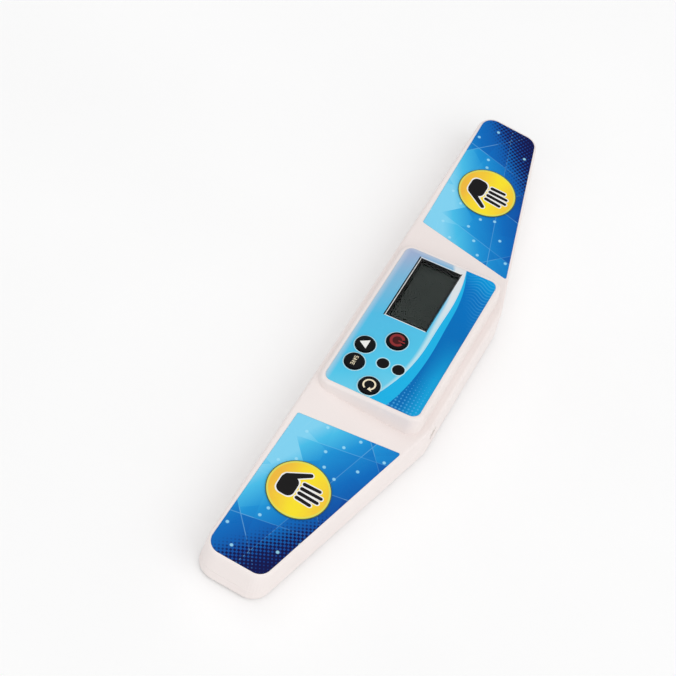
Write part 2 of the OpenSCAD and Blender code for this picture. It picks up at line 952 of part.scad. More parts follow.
module battery_end_contacts() {
    x = bay_x1 - plate_gap - contact_sheet / 2;
    color([0.75, 0.75, 0.72]) {
        for (row = cell_rows) {
            contact_plate(x, row);
            block([x, row], contact_sheet, 4, contact_high - 1, bay_top + bay_wall + 0.7);
        }
        contact_spring(x, cell_rows[1], -1, spring_reach);
        translate([x, cell_rows[0], cell_axis_z])
            rotate([0, -90, 0])
                cylinder(r = 2, h = contact_sheet / 2 + spring_reach - 0.05);
    }
}

// Leads from the end contacts' tails to the board's underside
module battery_leads() {
    x = bay_x1 - plate_gap;
    color([0.1, 0.1, 0.1])
        for (row = cell_rows) {
            tail = [x + lead_radius, row, bay_top + bay_wall + lead_radius];
            turn = tail + [4, 2, 0.4];
            wire([tail, turn, [turn[0], turn[1], board_under_z(turn[1]) - solder_gap]], lead_radius);
        }
}

// Plate with two hooks at one end and a springy latch tongue at the other
module battery_door() {
    x0 = opening_x0 + door_gap;
    x1 = opening_x1 - door_gap;
    width = opening_width - 2 * door_gap;
    latch_width = 9;
    leaf = 0.8;
    inner_leaf = latch_x0 + 1.4;
    outer_leaf = latch_x1 - 1.7;
    bend_z = 6.2;
    bend_radius = (outer_leaf + leaf - inner_leaf) / 2;
    bend_x = inner_leaf + bend_radius;
    color([0.92, 0.89, 0.87])
        difference() {
            union() {
                difference() {
                    translate([x0, bay_y - width / 2, foot_gap])
                        cube([x1 - x0, width, door_thickness]);
                    // slot that frees the latch tongue
                    translate([inner_leaf + leaf, bay_y - latch_width / 2 - 0.6, 0])
                        cube([x1 - inner_leaf, latch_width + 1.2, door_top + past]);
                }
                for (side = [-1, 1]) {
                    // hook root and tongue
                    translate([x0, bay_y + side * hook_offset - hook_width / 2, foot_gap])
                        cube([1.5, hook_width, hook_high - foot_gap]);
                    translate([hinge_x - hook_reach, bay_y + side * hook_offset - hook_width / 2,
                        hook_low])
                        cube([hook_reach + 1, hook_width, hook_high - hook_low]);
                }
                // latch: up, over and down to its push tab
                translate([inner_leaf, bay_y - latch_width / 2, foot_gap])
                    cube([leaf, latch_width, bend_z - foot_gap]);
                translate([bend_x, bay_y + latch_width / 2, bend_z])
                    rotate([90, 0, 0])
                        difference() {
                            cylinder(r = bend_radius, h = latch_width);
                            translate([0, 0, -past])
                                cylinder(r = bend_radius - leaf, h = latch_width + 2 * past);
                            translate([-bend_radius - past, -2 * bend_radius, -past])
                                cube([2 * bend_radius + 2 * past, 2 * bend_radius,
                                    latch_width + 2 * past]);
                        }
                translate([outer_leaf, bay_y - latch_width / 2, foot_gap])
                    cube([leaf, latch_width, bend_z - foot_gap]);
                translate([outer_leaf, bay_y - latch_width / 2, foot_gap])
                    cube([x1 - outer_leaf - 0.3, latch_width, door_thickness]);
            }
            // grip grooves beside the latch
            for (i = [0 : 3])
                translate([inner_leaf - 4 - i * 2, bay_y, foot_gap])
                    rotate([90, 0, 0])
                        cylinder(r = 0.4, h = 12, center = true);
        }
}

// ======== Data jack ========

module data_jack() {
    color([0.08, 0.08, 0.09])
        difference() {
            union() {
                translate([jack_x - jack_width / 2, jack_face_y - jack_body_depth, jack_low])
                    cube([jack_width, jack_body_depth, jack_height]);
                translate([jack_x, jack_face_y - past, jack_z])
                    rotate([-90, 0, 0])
                        cylinder(r = jack_nose_radius, h = jack_nose_y - jack_face_y + past);
            }
            translate([jack_x, jack_nose_y - jack_bore_depth, jack_z])
                rotate([-90, 0, 0])
                    cylinder(r = jack_bore_radius, h = jack_bore_depth + past);
        }
}

module jack_leads() {
    back = jack_face_y - jack_body_depth;
    color([0.7, 0.7, 0.72])
        for (side = [-1, 1]) {
            x = jack_x + side * 2.5;
            wire([[x, back, jack_z + 2], [x, back - 2, jack_z + 2],
                [x, back - 2, board_under_z(back - 2) - solder_gap]], lead_radius);
        }
}

// ======== Fasteners and feet ========

module case_screws() {
    color([0.7, 0.7, 0.72])
        for (place = case_screw_places) {
            post(place, case_screw_radius, head_seat - 0.5, head_seat + screw_length);
            difference() {
                post(place, head_radius, head_seat - head_height, head_seat);
                block(place, 3, 0.6, head_seat - head_height - past, head_seat - head_height + 0.8);
                block(place, 0.6, 3, head_seat - head_height - past, head_seat - head_height + 0.8);
            }
        }
}

module rubber_feet() {
    color([0.3, 0.3, 0.3])
        for (place = feet_places)
            post(place, foot_radius, 0, foot_gap + foot_recess);
}

upper_shell();
lower_shell();
console_overlay();
left_pad_overlay();
right_pad_overlay();
display_window();
lcd_bezel();
lcd_glass();
lcd_contact_strips();
power_key();
select_key();
save_key();
reset_key();
power_plunger();
select_plunger();
save_plunger();
reset_plunger();
switch_bodies();
indicator_lenses();
status_leds();
main_board();
controller_chip();
board_components();
left_touch_plate();
right_touch_plate();
left_touch_lead();
right_touch_lead();
battery_cells();
battery_bridge_contact();
battery_end_contacts();
battery_leads();
battery_door();
data_jack();
jack_leads();
case_screws();
board_screws();
rubber_feet();
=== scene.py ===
"""Looks of a speed cube timer: materials, printed marks, floor, lights and camera.

The CAD nodes keep their shapes and take detailed materials here.  The prints on the
hand pads, the marks on the keys, and the lines, painted highlights and painted shade round
the display are thin pieces of their own, laid over the surface that carries them.
Lengths are in millimetres until they reach Blender, which works in metres.
"""
import math

import bpy
from mathutils import Matrix, Vector
from mathutils.geometry import delaunay_2d_cdt


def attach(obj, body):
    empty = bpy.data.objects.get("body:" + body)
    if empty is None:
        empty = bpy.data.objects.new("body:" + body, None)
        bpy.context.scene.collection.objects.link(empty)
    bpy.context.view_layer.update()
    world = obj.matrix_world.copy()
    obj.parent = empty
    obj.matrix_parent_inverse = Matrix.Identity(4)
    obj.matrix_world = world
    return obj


MM = 0.001

# Where things are on the object, as in the part's source.  A place on the console is two
# distances along its tilted plane: to the right of its middle, and up from its near edge.
PAD_MARKS_LEVEL = 19.9          # 0.4 mm over the pad films, whose top is at 19.5
CONSOLE_NEAR = (-23.5, 23.3)    # y and z of the console's near edge
CONSOLE_TILT = 8.25             # degrees
PANEL_HALF = 42.05              # half the console film's length
WINDOW_CENTRE = (-20.3, 17.84)
WINDOW_SIZE = (37.1, 20.1)
KEY_PLACES = {
    "power": (9.3, 19.4),
    "select": (17.6, 8.03),
    "save": (28.1, 8.03),
    "reset": (36.6, 19.4),
}
HOLE_RADII = {"power": 4.95, "select": 4.65, "save": 4.65, "reset": 4.95}
LENS_PLACES = [(22.9, 19.2), (22.9, 26.6)]
LENS_RADIUS = 2.75
DISC_CENTRE = (94.4, -6.65)     # x is mirrored for the left arm
DISC_RADIUS = 13.9
CELLS_MIDDLE = -6.0             # x of the middle of both battery cells

# The printed wave on the console film, as heights over the film's near edge at some spots:
# where its pale band starts, where its cyan band starts and where the deep band starts
WAVE_SPOTS = (-42, -28, -7, 17, 33, 42)
PALE_START = (22.6, 27.6, 29.0, 29.0, 25.4, 21.6)
CYAN_START = (29.0, 31.6, 31.8, 30.8, 26.5, 22.3)
DEEP_START = (29.1, 33.3, 34.8, 34.9, 32.7, 30.1)

# Families of parallel lines that cut a pad film into facets: degrees, and spacing in mm
BROAD_LINES = [(12, 22.0), (74, 26.0), (131, 31.0)]
FINE_LINES = [(38, 19.0), (97, 15.0), (161, 23.0)]

# Printed layers, and the layers of painted highlight and painted shade round the display
INK = 0.02                      # thickness of one layer
INK_FILL = 0.9                  # share of it that the ink fills, which keeps layers apart
DISC_RIM = 0.4                  # width of the olive rim round a disc
DISC_LINE = 1.15                # how far in from DISC_RADIUS the disc's pale green line is seen
FINGER_TIPS = [(-3.5, 8.0), (-1.1, 9.9), (1.3, 9.4), (3.7, 7.2)]    # of the hand sign

# The light: two wide lamps, and a world that is brighter on one side
LAMP_PLACES = {"key_light": (-0.4, -0.6, 1.5), "fill_light": (0.3, 1.0, 1.3)}   # metres
LAMP_SIZE = 1.4                 # metres
LAMP_POWER = 4.6                # watts
BRIGHT_SIDE = (0.7, 0.5, -0.2)  # direction of the world's bright side
BRIGHT_SPAN = (-0.9, 0.5)       # where along it the world's light starts and stops growing
WORLD_LIGHT = (0.4, 1.05)       # its strength at these two
FLOOR_GLOW = 0.035              # lifts the paper towards white where it is looked at
FLOOR_HALF = 3                  # half the floor's length, in metres
FLOOR_DROP = 0.05               # a hair under the feet, so that the two never share a plane

# The photograph's camera
CAMERA_PLACE = (496.75, 72.02, 708.19)
CAMERA_TURN = (33.864, -10.899, 117.507)    # degrees, Euler XYZ
CAMERA_LENS = 103.5             # focal length
SENSOR_WIDTH = 36.0
NEAREST_SEEN = 0.05             # metres
FARTHEST_SEEN = 20.0            # metres


def srgb(red, green, blue):
    """A colour seen on a screen (0 to 255) as Blender's linear RGBA."""
    def linear(level):
        level /= 255
        if level <= 0.04045:
            return level / 12.92
        return ((level + 0.055) / 1.055) ** 2.4
    return (linear(red), linear(green), linear(blue), 1.0)


# ---------------------------------------------------------------- node trees

class Tree:
    """A node tree, built up from short calls that give back output sockets."""

    def __init__(self, owner):
        owner.use_nodes = True
        self.tree = owner.node_tree
        self.tree.nodes.clear()

    def node(self, kind, **settings):
        """A new node with its settings."""
        made = self.tree.nodes.new(kind)
        for key, value in settings.items():
            setattr(made, key, value)
        return made

    def feed(self, socket, value):
        """Links an output to the socket, or sets the socket to a plain value."""
        if isinstance(value, bpy.types.NodeSocket):
            self.tree.links.new(value, socket)
        else:
            socket.default_value = value

    def math(self, operation, a, b=0.0, clamp=False):
        """One of Blender's math operations on numbers."""
        made = self.node("ShaderNodeMath", operation=operation, use_clamp=clamp)
        self.feed(made.inputs[0], a)
        self.feed(made.inputs[1], b)
        return made.outputs[0]

    def sum(self, *terms):
        """All terms added up."""
        total = terms[0]
        for term in terms[1:]:
            total = self.math("ADD", total, term)
        return total

    def minus(self, a, b):
        """What is left of a when b is taken away."""
        return self.math("SUBTRACT", a, b)

    def times(self, a, b):
        """The product of a and b."""
        return self.math("MULTIPLY", a, b)

    def opposite(self, value):
        """1 for 0, and 0 for 1."""
        return self.math("SUBTRACT", 1.0, value)

    def vector(self, operation, a, b=(0, 0, 0), scale=1.0):
        """One of Blender's math operations on vectors."""
        made = self.node("ShaderNodeVectorMath", operation=operation)
        self.feed(made.inputs[0], a)
        if operation == "SCALE":
            made.inputs["Scale"].default_value = scale
        else:
            self.feed(made.inputs[1], b)
        return made.outputs["Value" if operation == "DOT_PRODUCT" else "Vector"]

    def between(self, value, low, high, start=0.0, stop=1.0):
        """Spreads a value that runs from start to stop over low to high."""
        made = self.node("ShaderNodeMapRange")
        self.feed(made.inputs["Value"], value)
        made.inputs["From Min"].default_value = start
        made.inputs["From Max"].default_value = stop
        made.inputs["To Min"].default_value = low
        made.inputs["To Max"].default_value = high
        return made.outputs["Result"]

    def seen_directly(self):
        """1 where the camera, a mirror or glass looks, and 0 for the light that is shed."""
        path = self.node("ShaderNodeLightPath").outputs
        looked_at = self.math("MAXIMUM", path["Is Camera Ray"], path["Is Glossy Ray"])
        return self.math("MAXIMUM", looked_at, path["Is Transmission Ray"])


class Surface(Tree):
    """The node tree of one material, with a main shader and places in mm."""

    def __init__(self, name):
        self.material = bpy.data.materials.new(name)
        super().__init__(self.material)
        self.shader = self.node("ShaderNodeBsdfPrincipled")
        output = self.node("ShaderNodeOutputMaterial")
        self.tree.links.new(self.shader.outputs["BSDF"], output.inputs["Surface"])
        place = self.node("ShaderNodeTexCoord").outputs["Object"]
        self.place = self.vector("SCALE", place, scale=1 / MM)

    def set(self, **values):
        """Feeds the shader's inputs: base_color=..., roughness=... and so on."""
        for key, value in values.items():
            name = key.replace("_", " ").title().replace("Ior", "IOR")
            self.feed(self.shader.inputs[name], value)

    def along(self, direction, start=0.0):
        """Distance in mm along a direction from a start."""
        return self.minus(self.vector("DOT_PRODUCT", self.place, direction), start)

    def step(self, value, edge, softness):
        """0 below the edge and 1 above it, with a soft change between."""
        scaled = self.math("DIVIDE", self.minus(value, edge), softness)
        return self.math("ADD", scaled, 0.5, clamp=True)

    def curve(self, value, spots, heights):
        """A smooth curve through (spot, height) pairs, read at a value; all in mm."""
        span = spots[-1] - spots[0]
        tallest = 50.0          # the height that the node's 1 stands for
        made = self.node("ShaderNodeFloatCurve")
        line = made.mapping.curves[0]
        while len(line.points) < len(spots):
            line.points.new(0.5, 0.5)
        for point, spot, height in zip(line.points, spots, heights):
            point.location = ((spot - spots[0]) / span, height / tallest)
        made.mapping.update()
        along = self.math("DIVIDE", self.minus(value, spots[0]), span)
        self.feed(made.inputs["Value"], along)
        return self.times(made.outputs[0], tallest)

    def sheen_and_wear_edge(self, radius):
        """0 on open ground, rising to 1 on an outer or inner edge radius mm wide."""
        rounded = self.node("ShaderNodeBevel", samples=4)
        rounded.inputs["Radius"].default_value = radius * MM
        own = self.node("ShaderNodeNewGeometry").outputs["Normal"]
        match = self.vector("DOT_PRODUCT", rounded.outputs["Normal"], own)
        gain = 6.0              # lets the small change of direction at an edge reach 1
        return self.math("MULTIPLY", self.opposite(match), gain, clamp=True)

    def noise(self, size, detail=3.0):
        """Cloudy 0 to 1 noise whose lumps are about size mm across."""
        made = self.node("ShaderNodeTexNoise")
        self.feed(made.inputs["Vector"], self.place)
        made.inputs["Scale"].default_value = 1 / size
        made.inputs["Detail"].default_value = detail
        return made.outputs["Fac"]

    def cells(self, size, place=None, output="Color", flat=False):
        """Cells about size mm across: a random colour each, or the distance to its point."""
        made = self.node("ShaderNodeTexVoronoi", voronoi_dimensions="2D" if flat else "3D")
        self.feed(made.inputs["Vector"], place or self.place)
        made.inputs["Scale"].default_value = 1 / size
        return made.outputs[output]

    def slope(self, across, up, per_across, per_up):
        """A value that grows evenly, by its own amount for each mm across and up."""
        return self.sum(self.times(across, per_across), self.times(up, per_up))

    def heading(self, across, up, angle):
        """Distance in mm along a flat direction at an angle in degrees."""
        turn = math.radians(angle)
        return self.slope(across, up, per_across=math.cos(turn), per_up=math.sin(turn))

    def shards(self, across, up, families):
        """A random 0 to 1 value for each piece cut out by families of parallel lines.

        Each family is (angle in degrees, spacing in mm)."""
        key = self.node("ShaderNodeCombineXYZ")
        for index, (angle, spacing) in enumerate(families):
            offset = self.heading(across, up, angle)
            band = self.math("FLOOR", self.math("DIVIDE", offset, spacing))
            self.feed(key.inputs[index], self.math("ADD", band, 0.5))
        chance = self.node("ShaderNodeTexWhiteNoise", noise_dimensions="3D")
        self.feed(chance.inputs["Vector"], key.outputs[0])
        return chance.outputs["Value"]

    def seams(self, across, up, families, width):
        """1 on the thin lines between those pieces and 0 elsewhere."""
        nearest = max(spacing for _, spacing in families)
        for angle, spacing in families:
            gap = self.math("PINGPONG", self.heading(across, up, angle), spacing / 2)
            nearest = self.math("MINIMUM", nearest, gap)
        return self.opposite(self.step(nearest, width, width))

    def ring_at(self, across, up, centre, inner, outer, softness=0.12):
        """1 on a flat ring round a centre and 0 elsewhere."""
        from_x = self.minus(across, centre[0])
        from_y = self.minus(up, centre[1])
        squares = self.sum(self.times(from_x, from_x), self.times(from_y, from_y))
        reach = self.math("SQRT", squares)
        inside = self.opposite(self.step(reach, outer, softness))
        return self.times(inside, self.step(reach, inner, softness))

    def ramp(self, value, stops):
        """Colours along a value: stops are (position, RGBA) pairs."""
        made = self.node("ShaderNodeValToRGB")
        while len(made.color_ramp.elements) < len(stops):
            made.color_ramp.elements.new(0.5)
        for element, (position, colour) in zip(made.color_ramp.elements, stops):
            element.position = position
            element.color = colour
        self.feed(made.inputs["Fac"], value)
        return made.outputs["Color"]

    def mix(self, factor, a, b, kind="MIX"):
        """Colour a where the factor is 0 and colour b where it is 1."""
        made = self.node("ShaderNodeMix", data_type="RGBA", blend_type=kind)
        self.feed(made.inputs[0], factor)
        self.feed(made.inputs[6], a)
        self.feed(made.inputs[7], b)
        return made.outputs[2]

    def shade(self, colour, amount):
        """A colour made lighter or darker by a socket around 1."""
        grey = self.node("ShaderNodeCombineColor")
        for index in range(3):
            self.feed(grey.inputs[index], amount)
        return self.mix(1.0, colour, grey.outputs[0], kind="MULTIPLY")

    def bump(self, height, depth):
        """Surface relief: a 0 to 1 height that is depth mm deep."""
        made = self.node("ShaderNodeBump")
        self.feed(made.inputs["Height"], height)
        made.inputs["Strength"].default_value = 1.0
        made.inputs["Distance"].default_value = depth * MM
        self.feed(self.shader.inputs["Normal"], made.outputs["Normal"])


# ---------------------------------------------------------------- materials

def plain_finish(name, colour, rough, grain=0.4, relief=0.004, metal=0.0, tone=0.05, shine=0.5):
    """A moulded, painted or plated finish: cloudy tone, fine grain and uneven gloss."""
    made = Surface(name)
    fine = made.noise(grain, detail=4.0)
    amount = made.sum(made.between(made.noise(9.0), 1 - tone, 1 + tone),
                      made.between(fine, -tone / 2, tone / 2))
    made.set(base_color=made.shade(colour, amount), metallic=metal, specular_ior_level=shine,
             roughness=made.between(made.noise(3.0), rough - 0.06, rough + 0.06))
    made.bump(fine, relief)
    return made


def white_plastic():
    """Warm white ABS with a fine sparked texture, paler along its edges from a painted highlight,
    and smoother there from wear.
    """
    made = Surface("warm_white_plastic")
    colour = made.ramp(made.noise(45.0), [(0.3, srgb(236, 226, 223)), (0.7, srgb(241, 232, 229))])
    grain = made.noise(0.35, detail=5.0)
    # Painted highlight and wear: on patches along the edges the colour pales as if they caught
    # the light, and the surface is smoother there as wear leaves it
    patches = made.step(made.noise(4.0), edge=0.45, softness=0.3)
    sheen_and_wear = made.times(made.sheen_and_wear_edge(0.35), patches)
    colour = made.mix(made.times(sheen_and_wear, 0.6), colour, srgb(247, 242, 240))
    speck = made.between(grain, 0.975, 1.02)
    rough = made.minus(made.between(made.noise(6.0), 0.42, 0.52), made.times(sheen_and_wear, 0.12))
    made.set(base_color=made.shade(colour, speck), roughness=rough)
    made.bump(grain, 0.012)
    return made


def film_gloss(made, colour):
    """Puts a printed colour under the film's gloss, with faint smears from handling."""
    smear = made.noise(7.0, detail=5.0)
    grain = made.noise(0.5, detail=2.0)
    made.set(base_color=colour, roughness=made.between(smear, 0.22, 0.36),
             specular_ior_level=0.05)
    made.bump(grain, 0.0015)


def dot_screen(made, across, up, pitch, fade):
    """A screen of small diamonds whose size follows fade, from none at 0 to touching at 1."""
    from_middle = []
    for value in (across, up):
        part = made.math("FRACT", made.math("DIVIDE", value, pitch))
        from_middle.append(made.math("ABSOLUTE", made.minus(part, 0.5)))
    touching = 0.52             # reach of the largest diamonds, as a share of the pitch
    reach = made.times(fade, touching)
    return made.step(made.minus(reach, made.sum(*from_middle)), edge=0.0, softness=0.12)


def film_ground(made, across, up):
    """Sky blue, lilac towards the left near corner, whitish along the near and left edges."""
    drift = made.slope(across, up, per_across=0.0075, per_up=0.006)
    drift = made.sum(drift, 0.32, made.between(made.noise(30.0), -0.06, 0.06))
    ground = made.ramp(drift, [
        (0.0, srgb(168, 176, 208)), (0.16, srgb(126, 184, 218)), (0.34, srgb(84, 190, 230)),
        (0.62, srgb(84, 200, 236)), (0.8, srgb(128, 214, 238))])
    near_margin = made.opposite(made.step(up, edge=1.3, softness=2.8))
    left_margin = made.opposite(made.step(across, edge=0.9 - PANEL_HALF, softness=2.4))
    margin = made.math("MAXIMUM", near_margin, left_margin)
    return made.mix(made.times(margin, 0.6), ground, srgb(206, 214, 226))


def film_deep_band(made, across, up, along):
    """Deep blue, brighter at its left end and in its far right corner.

    Swaying lines ripple over its left part, and diamonds cover its right part."""
    deep = made.ramp(made.sum(along, made.times(up, -0.006), 0.3), [
        (0.04, srgb(0, 160, 226)), (0.2, srgb(0, 116, 196)), (0.5, srgb(0, 112, 188)),
        (1.0, srgb(2, 110, 184))])
    glow = made.times(made.step(up, edge=39.0, softness=7.0),
                      made.step(across, edge=8.0, softness=26.0))
    deep = made.mix(glow, deep, srgb(18, 160, 218))

    sway = made.times(made.math("SINE", made.times(up, 0.55)), 1.2)
    ripple = made.math("SINE", made.times(made.sum(across, sway), 3.6))
    leftward = made.slope(across, up, per_across=-0.5, per_up=1.0)
    ripple = made.times(made.between(ripple, 0.0, 0.26),
                        made.step(leftward, edge=52.5, softness=9.0))
    deep = made.mix(ripple, deep, srgb(96, 196, 236))

    rightward = made.slope(across, up, per_across=1.0, per_up=-0.3)
    fade = made.step(rightward, edge=19.0, softness=26.0)
    screen = dot_screen(made, across, up, pitch=1.75, fade=made.times(fade, 0.72))
    return made.mix(made.times(screen, 0.6), deep, srgb(84, 178, 232))


def film_hole_rings(made, across, up):
    """1 on the thin ring printed round each hole of the console and 0 elsewhere."""
    holes = [(place, HOLE_RADII[key]) for key, place in KEY_PLACES.items()]
    holes += [(place, LENS_RADIUS) for place in LENS_PLACES]
    rings = 0.0
    for place, radius in holes:
        ring = made.ring_at(across, up, place, inner=radius - 0.4, outer=radius + 0.42)
        rings = made.math("MAXIMUM", rings, ring)
    return rings


def console_film():
    """Sky-blue film with a lilac corner, and a wave of three bands along its far side."""
    made = Surface("console_print")
    tilt = math.radians(CONSOLE_TILT)
    slope = (0, math.cos(tilt), math.sin(tilt))
    start = CONSOLE_NEAR[0] * slope[1] + CONSOLE_NEAR[1] * slope[2]
    across = made.along((1, 0, 0))
    up = made.along(slope, start)
    along = made.math("DIVIDE", made.sum(across, PANEL_HALF), 2 * PANEL_HALF)

    # Each band of the wave covers the film from its own start on
    pale = made.ramp(along, [
        (0.0, srgb(226, 228, 230)), (0.25, srgb(220, 230, 236)), (0.5, srgb(186, 228, 240))])
    cyan = srgb(30, 180, 232)
    deep = film_deep_band(made, across, up, along)
    colour = film_ground(made, across, up)
    for heights, edge, softness, band in ((PALE_START, 0.3, 1.6, pale),
                                          (CYAN_START, 0.0, 0.16, cyan),
                                          (DEEP_START, 0.0, 0.2, deep)):
        beyond = made.minus(up, made.curve(across, WAVE_SPOTS, heights))
        colour = made.mix(made.step(beyond, edge, softness), colour, band)

    rings = film_hole_rings(made, across, up)
    colour = made.mix(made.times(rings, 0.75), colour, srgb(206, 240, 248))
    film_gloss(made, colour)
    return made


def pad_film():
    """Pad film: pale cyan inside and near, navy outside and far, in broad facets."""
    made = Surface("pad_print")
    outward = made.math("ABSOLUTE", made.along((1, 0, 0)))
    away = made.along((0, 1, 0))

    # The tone deepens outward and away, with a little more or less on each facet
    broad = made.shards(outward, away, BROAD_LINES)
    fine = made.shards(outward, away, FINE_LINES)
    facets = made.sum(made.between(broad, -0.12, 0.12), made.between(fine, -0.04, 0.04))
    depth = made.slope(outward, away, per_across=0.0092, per_up=0.017)
    colour = made.ramp(made.sum(depth, -0.31, facets), [
        (0.0, srgb(130, 211, 242)), (0.12, srgb(74, 190, 233)), (0.31, srgb(30, 146, 214)),
        (0.56, srgb(12, 108, 190)), (0.8, srgb(14, 82, 166)), (1.0, srgb(16, 58, 140))])
    seam = made.seams(outward, away, BROAD_LINES, width=0.16)
    seam = made.times(seam, made.between(fine, 0.1, 0.45))
    colour = made.mix(seam, colour, srgb(150, 218, 244))

    # Navy corner with a diamond screen that fades towards the middle
    corner = made.slope(made.minus(outward, 105.0), made.minus(away, -6.0),
                        per_across=0.026, per_up=0.029)
    corner = made.sum(corner, made.between(made.noise(16.0), -0.08, 0.08))
    across = made.slope(outward, away, per_across=1.0, per_up=0.5)
    up = made.slope(outward, away, per_across=-0.5, per_up=1.0)
    screen = dot_screen(made, across, up, pitch=1.8, fade=made.between(corner, 0.2, 1.7))
    screen = made.times(screen, made.step(corner, edge=0.3, softness=0.3))
    colour = made.mix(made.step(corner, edge=0.7, softness=0.8), colour, srgb(18, 52, 124))
    colour = made.mix(screen, colour, srgb(14, 18, 74))

    # Small round pale sparks, one to a cell
    flat = made.node("ShaderNodeCombineXYZ")
    made.feed(flat.inputs[0], outward)
    made.feed(flat.inputs[1], away)
    shifted = made.vector("ADD", flat.outputs[0], (2.0, 9.0, 0.0))
    spark = made.cells(11.5, shifted, output="Distance", flat=True)
    spark = made.opposite(made.step(spark, edge=0.062, softness=0.03))
    colour = made.mix(made.times(spark, 0.8), colour, srgb(160, 224, 248))
    film_gloss(made, colour)
    return made


def clear_window():
    """Clear acrylic with the faintest haze, its reflection held down by a grey tint."""
    made = Surface("clear_window")
    haze = made.noise(4.0, detail=4.0)
    made.set(base_color=srgb(236, 242, 240), roughness=made.between(haze, 0.0, 0.02),
             transmission_weight=1.0, ior=1.4, specular_tint=srgb(112, 117, 115))
    return made


def display_glass():
    """Blank liquid-crystal glass: grey-green, with faint upright lines of its electrodes."""
    made = Surface("display_glass")
    lines = made.math("FRACT", made.math("DIVIDE", made.along((1, 0, 0)), 2.4))
    lines = made.step(lines, edge=0.94, softness=0.03)
    cloud = made.ramp(made.noise(14.0), [(0.3, srgb(16, 24, 21)), (0.7, srgb(23, 32, 27))])
    made.set(base_color=made.mix(made.times(lines, 0.12), cloud, srgb(46, 50, 44)),
             roughness=made.between(made.noise(5.0), 0.28, 0.36), specular_ior_level=0.1)
    return made


def key_plastic():
    """Glossy black plastic, slightly cloudy from handling."""
    made = Surface("key_black")
    cloud = made.noise(2.2, detail=4.0)
    made.set(base_color=made.ramp(cloud, [(0.3, srgb(5, 7, 10)), (0.75, srgb(10, 12, 16))]),
             roughness=made.between(made.noise(1.1), 0.16, 0.30), specular_ior_level=0.06)
    made.bump(made.noise(0.3), 0.002)
    return made


def circuit_board():
    """Green solder mask over areas of copper tracks."""
    made = Surface("circuit_board")
    tracks = made.math("FRACT", made.math("DIVIDE", made.along((0, 1, 0)), 1.6))
    tracks = made.step(tracks, edge=0.55, softness=0.06)
    areas = made.step(made.cells(9.0, output="Distance"), edge=0.42, softness=0.02)
    copper = made.times(tracks, areas)
    mask = made.ramp(made.noise(5.0), [(0.3, srgb(14, 88, 48)), (0.7, srgb(20, 104, 58))])
    colour = made.mix(made.times(copper, 0.55), mask, srgb(44, 138, 74))
    made.set(base_color=colour, roughness=made.between(made.noise(0.8), 0.25, 0.4))
    made.bump(copper, 0.02)
    return made


def cell_wrap():
    """Printed sleeve of a battery cell: dark middle, copper colour on both sides, steel caps."""
    made = Surface("cell_wrap")
    from_middle = made.math("ABSOLUTE", made.along((1, 0, 0), CELLS_MIDDLE))
    scuff = made.noise(2.5, detail=5.0)
    ramp_span = 26.0            # mm from the middle to the ramp's 1
    body = made.ramp(made.math("DIVIDE", from_middle, ramp_span), [
        (0.0, srgb(34, 36, 42)), (0.55, srgb(30, 32, 38)), (0.58, srgb(188, 116, 62)),
        (0.82, srgb(196, 124, 68)), (0.85, srgb(200, 202, 204))])
    made.set(base_color=made.shade(body, made.between(scuff, 0.9, 1.06)), metallic=0.55,
             roughness=made.between(scuff, 0.26, 0.42))
    made.bump(made.noise(0.6), 0.003)
    return made


def small_parts():
    """Mixed small components: cans, chips and capacitors told apart by place."""
    made = Surface("small_parts")
    pick = made.node("ShaderNodeSeparateColor")
    made.feed(pick.inputs[0], made.cells(5.0))
    tone = made.ramp(pick.outputs[0], [
        (0.2, srgb(30, 30, 34)), (0.45, srgb(120, 92, 62)), (0.7, srgb(168, 170, 174))])
    made.set(base_color=made.shade(tone, made.between(made.noise(0.5), 0.9, 1.08)),
             roughness=0.42, metallic=0.2)
    made.bump(made.noise(0.4), 0.004)
    return made


def ink(name, colour, rough=0.32):
    """A printed mark, also a painted highlight or painted shade round the display: nearly even,
    with the slight mottle of screen ink.
    """
    made = Surface(name)
    mottle = made.noise(0.6, detail=4.0)
    made.set(base_color=made.shade(colour, made.between(mottle, 0.95, 1.04)),
             roughness=made.between(made.noise(4.0), rough - 0.06, rough + 0.08),
             specular_ior_level=0.1)
    made.bump(mottle, 0.001)
    return made


def disc_ink():
    """Yellow disc, more golden towards two sides, with a pale green line near its edge."""
    made = Surface("disc_yellow")
    outward = made.math("ABSOLUTE", made.along((1, 0, 0)))
    away = made.along((0, 1, 0))
    from_middle = made.math("ABSOLUTE", made.sum(away, 4.0))
    drift = made.sum(made.times(from_middle, 0.075),
                     made.between(made.noise(7.0, detail=5.0), -0.3, 0.3))
    colour = made.ramp(drift, [(0.1, srgb(250, 226, 44)), (1.0, srgb(240, 186, 62))])
    line = made.ring_at(outward, away, DISC_CENTRE, inner=DISC_RADIUS - DISC_LINE,
                        outer=DISC_RADIUS, softness=0.4)
    colour = made.mix(made.times(line, 0.7), colour, srgb(214, 226, 104))
    made.set(base_color=colour, roughness=made.between(made.noise(5.0), 0.24, 0.36),
             specular_ior_level=0.1)
    made.bump(made.noise(0.6), 0.001)
    return made


# ---------------------------------------------------------------- printed marks, painted highlights and painted shade

def polar(radius, angle, centre=(0, 0)):
    """The point at a distance from a centre and at an angle in degrees."""
    turn = math.radians(angle)
    return (centre[0] + radius * math.cos(turn), centre[1] + radius * math.sin(turn))


def arc(centre, radius, start, stop, count):
    """Points on an arc of count steps, in degrees, both ends included."""
    return [polar(radius, start + (stop - start) * i / count, centre) for i in range(count + 1)]


def bar(start, end, width, end_width=None):
    """Outline of a round-ended bar, which may narrow towards its end."""
    end_width = width if end_width is None else end_width
    heading = math.degrees(math.atan2(end[1] - start[1], end[0] - start[0]))
    return (arc(start, width / 2, heading + 90, heading + 270, count=12)
            + arc(end, end_width / 2, heading - 90, heading + 90, count=12))


